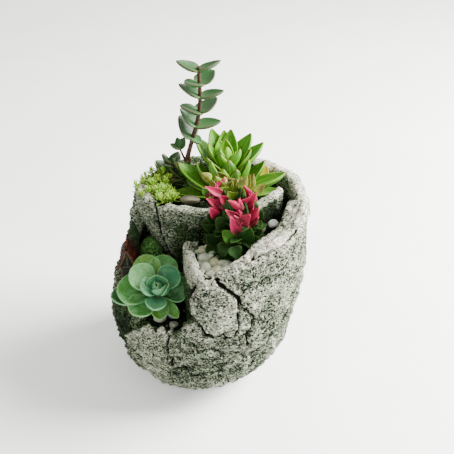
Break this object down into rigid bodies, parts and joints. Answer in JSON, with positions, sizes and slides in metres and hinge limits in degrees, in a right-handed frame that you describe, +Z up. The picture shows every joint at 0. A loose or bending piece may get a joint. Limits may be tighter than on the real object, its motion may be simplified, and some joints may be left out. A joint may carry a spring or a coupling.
{
  "type": "potted succulent",
  "caption": "Broken-open hand-built stoneware jar planted with a blue and a green rosette, red crassulas and a tall stem plant on stepped soil, with a small cottage on its ledge.",
  "frame": {"origin": "centre of the jar's flat base, on the surface it stands on", "axes": "+Z up; -Y towards the front, where the jar is broken open on its left; +X to the right"},
  "size_m": [0.1614, 0.1542, 0.2626],
  "materials": {
    "stoneware": "matte",
    "potting_soil": "matte",
    "blue_green_leaf": "satin",
    "green_leaf": "satin",
    "yellow_leaf": "matte",
    "dull_green_leaf": "satin",
    "crassula_green": "satin",
    "crassula_pink": "satin",
    "white_pebble": "matte",
    "grey_stone": "matte",
    "dark_moss": "matte",
    "yellow_sedum": "matte",
    "cottage_wall": "matte",
    "cottage_roof": "matte",
    "turret_stone": "matte",
    "cottage_trim": "matte"
  },
  "bodies": {
    "root": {"pot": "stoneware", "soil_base": "potting_soil", "soil_ledge": "potting_soil", "soil_pocket": "potting_soil", "soil_bowl": "potting_soil", "blue_rosette": "blue_green_leaf", "green_rosette": "green_leaf", "yellow_leaf": "yellow_leaf", "tall_stem_plant": "dull_green_leaf", "low_shoot": "dull_green_leaf", "crassula_left_foot": "crassula_green", "crassula_left_tip": "crassula_pink", "crassula_middle_foot": "crassula_green", "crassula_middle_tip": "crassula_pink", "crassula_right_foot": "crassula_green", "crassula_right_tip": "crassula_pink", "crassula_back_foot": "crassula_green", "crassula_back_tip": "crassula_pink", "pebble_bed": "white_pebble", "pebble_right_1": "white_pebble", "pebble_right_2": "white_pebble", "stone_ledge_white": "grey_stone", "stone_ledge_right": "grey_stone", "stone_ledge_small": "grey_stone", "bark_stone": "grey_stone", "moss_ball": "dark_moss", "yellow_sedum": "yellow_sedum", "cottage_walls": "cottage_wall", "cottage_roof": "cottage_roof", "cottage_door": "cottage_trim", "turret_walls": "turret_stone", "turret_roof": "cottage_roof"}
  },
  "joints": []
}
